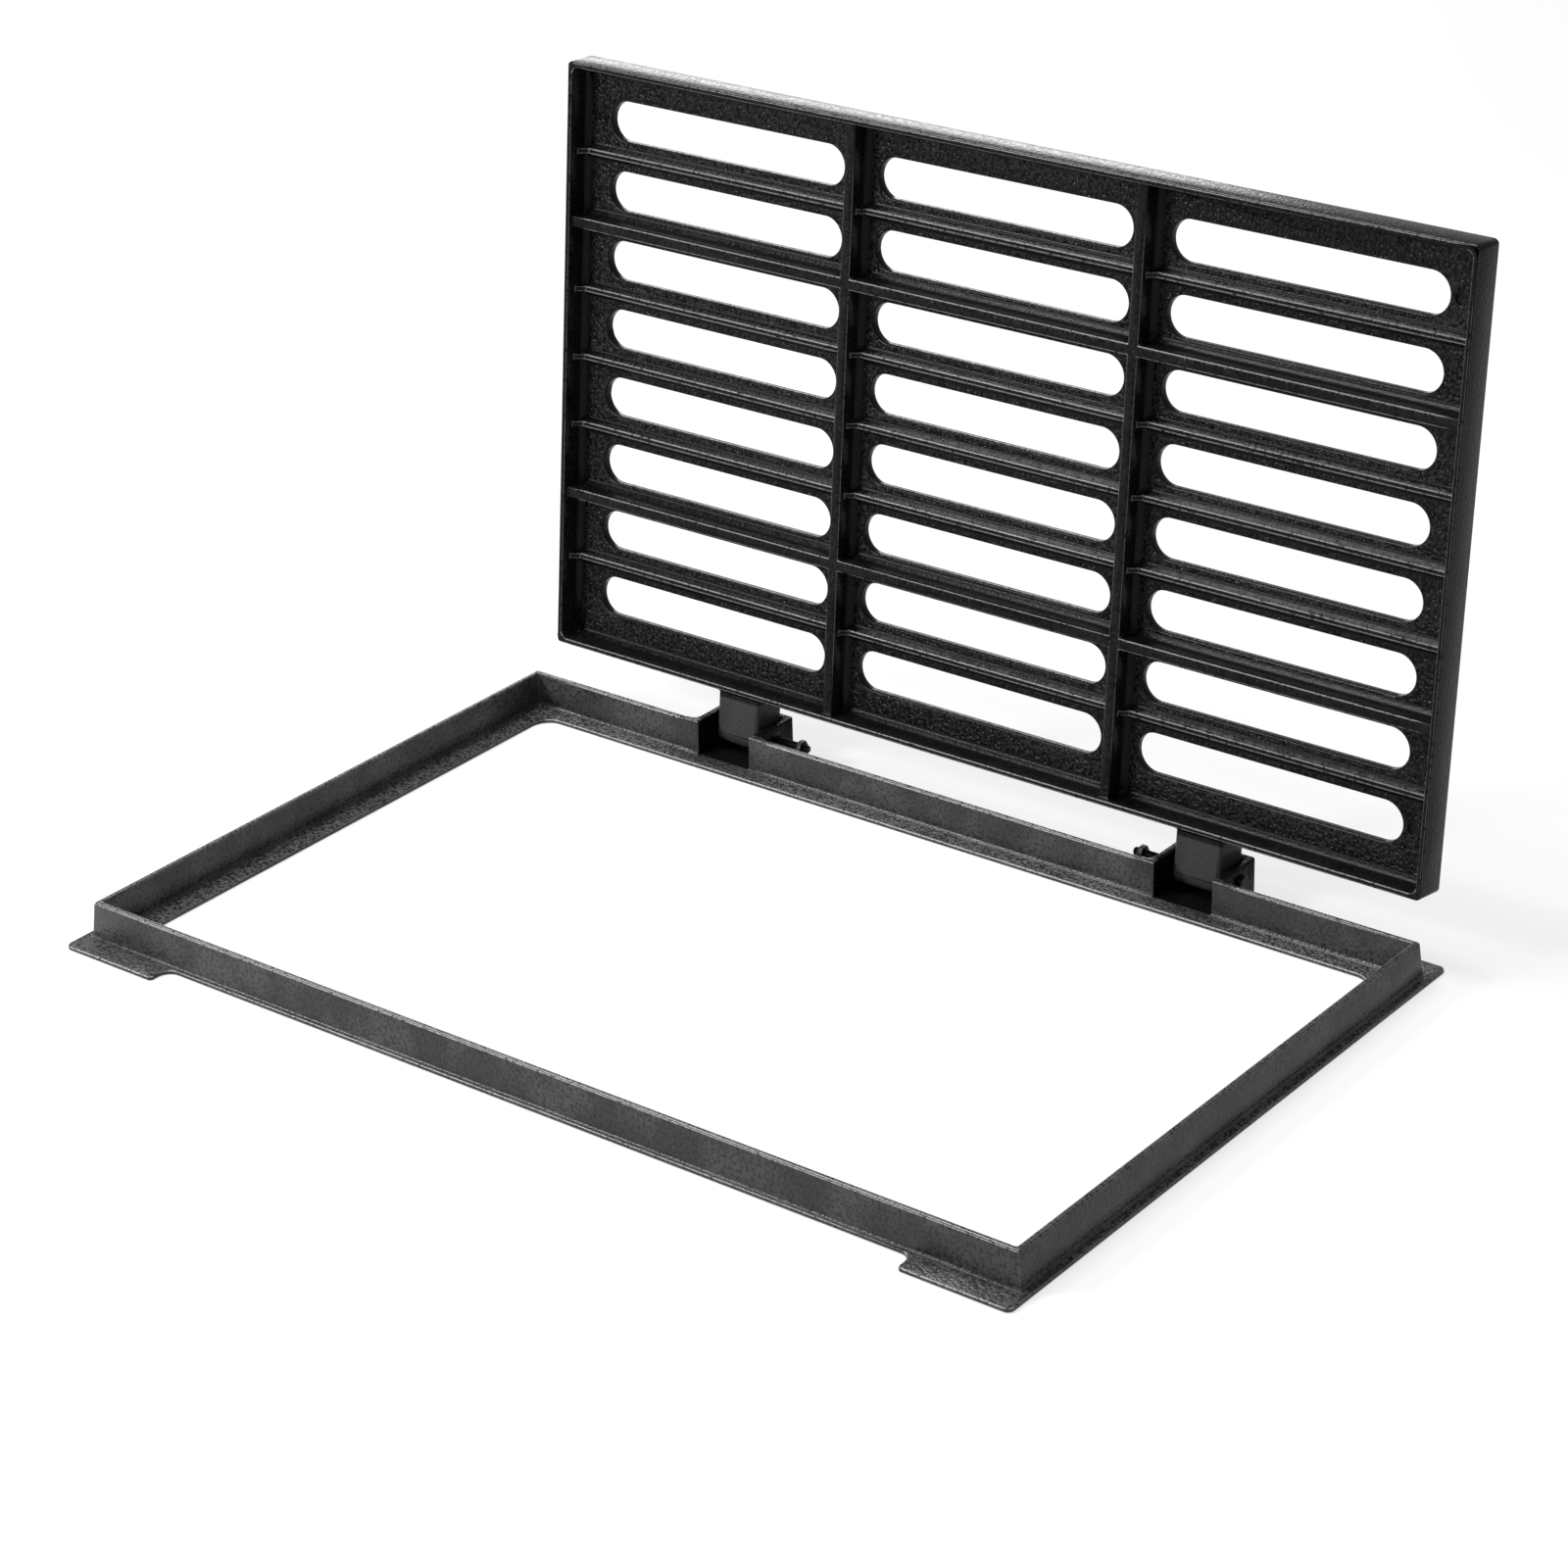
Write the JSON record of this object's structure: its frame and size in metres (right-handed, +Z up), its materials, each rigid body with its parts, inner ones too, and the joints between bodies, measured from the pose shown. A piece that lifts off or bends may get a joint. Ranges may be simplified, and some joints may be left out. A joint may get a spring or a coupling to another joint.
{
  "type": "drain grate",
  "caption": "Hinged rectangular drain grate: a slotted, ribbed iron casting that swings up out of a shallow seat frame on bolt hinges along its rear long side.",
  "frame": {"origin": "middle of the open assembly's footprint box, on the frame's bedding face", "axes": "+X along the long side, +Y to the hinge side, +Z up"},
  "size_m": [0.767, 0.554, 0.4811],
  "materials": {
    "frame_iron": "black paint, semi-gloss, over a fine sand-cast skin",
    "grate_iron": "black paint, semi-gloss, over a rough sand-cast skin",
    "hinge_steel": "black painted steel"
  },
  "bodies": {
    "fixed_frame": {"frame": "frame_iron", "hinge_bolt_left": "hinge_steel", "hinge_bolt_right": "hinge_steel", "hinge_nut_left": "hinge_steel", "hinge_nut_right": "hinge_steel"},
    "swinging_grate": {"grate": "grate_iron"}
  },
  "joints": [
    {"name": "grate_hinge", "type": "hinge", "parent": "fixed_frame", "child": "swinging_grate", "pos_m": [0, 0.21698, 0.017], "axis": [1, 0, 0], "range_deg": [0, 96]}
  ]
}
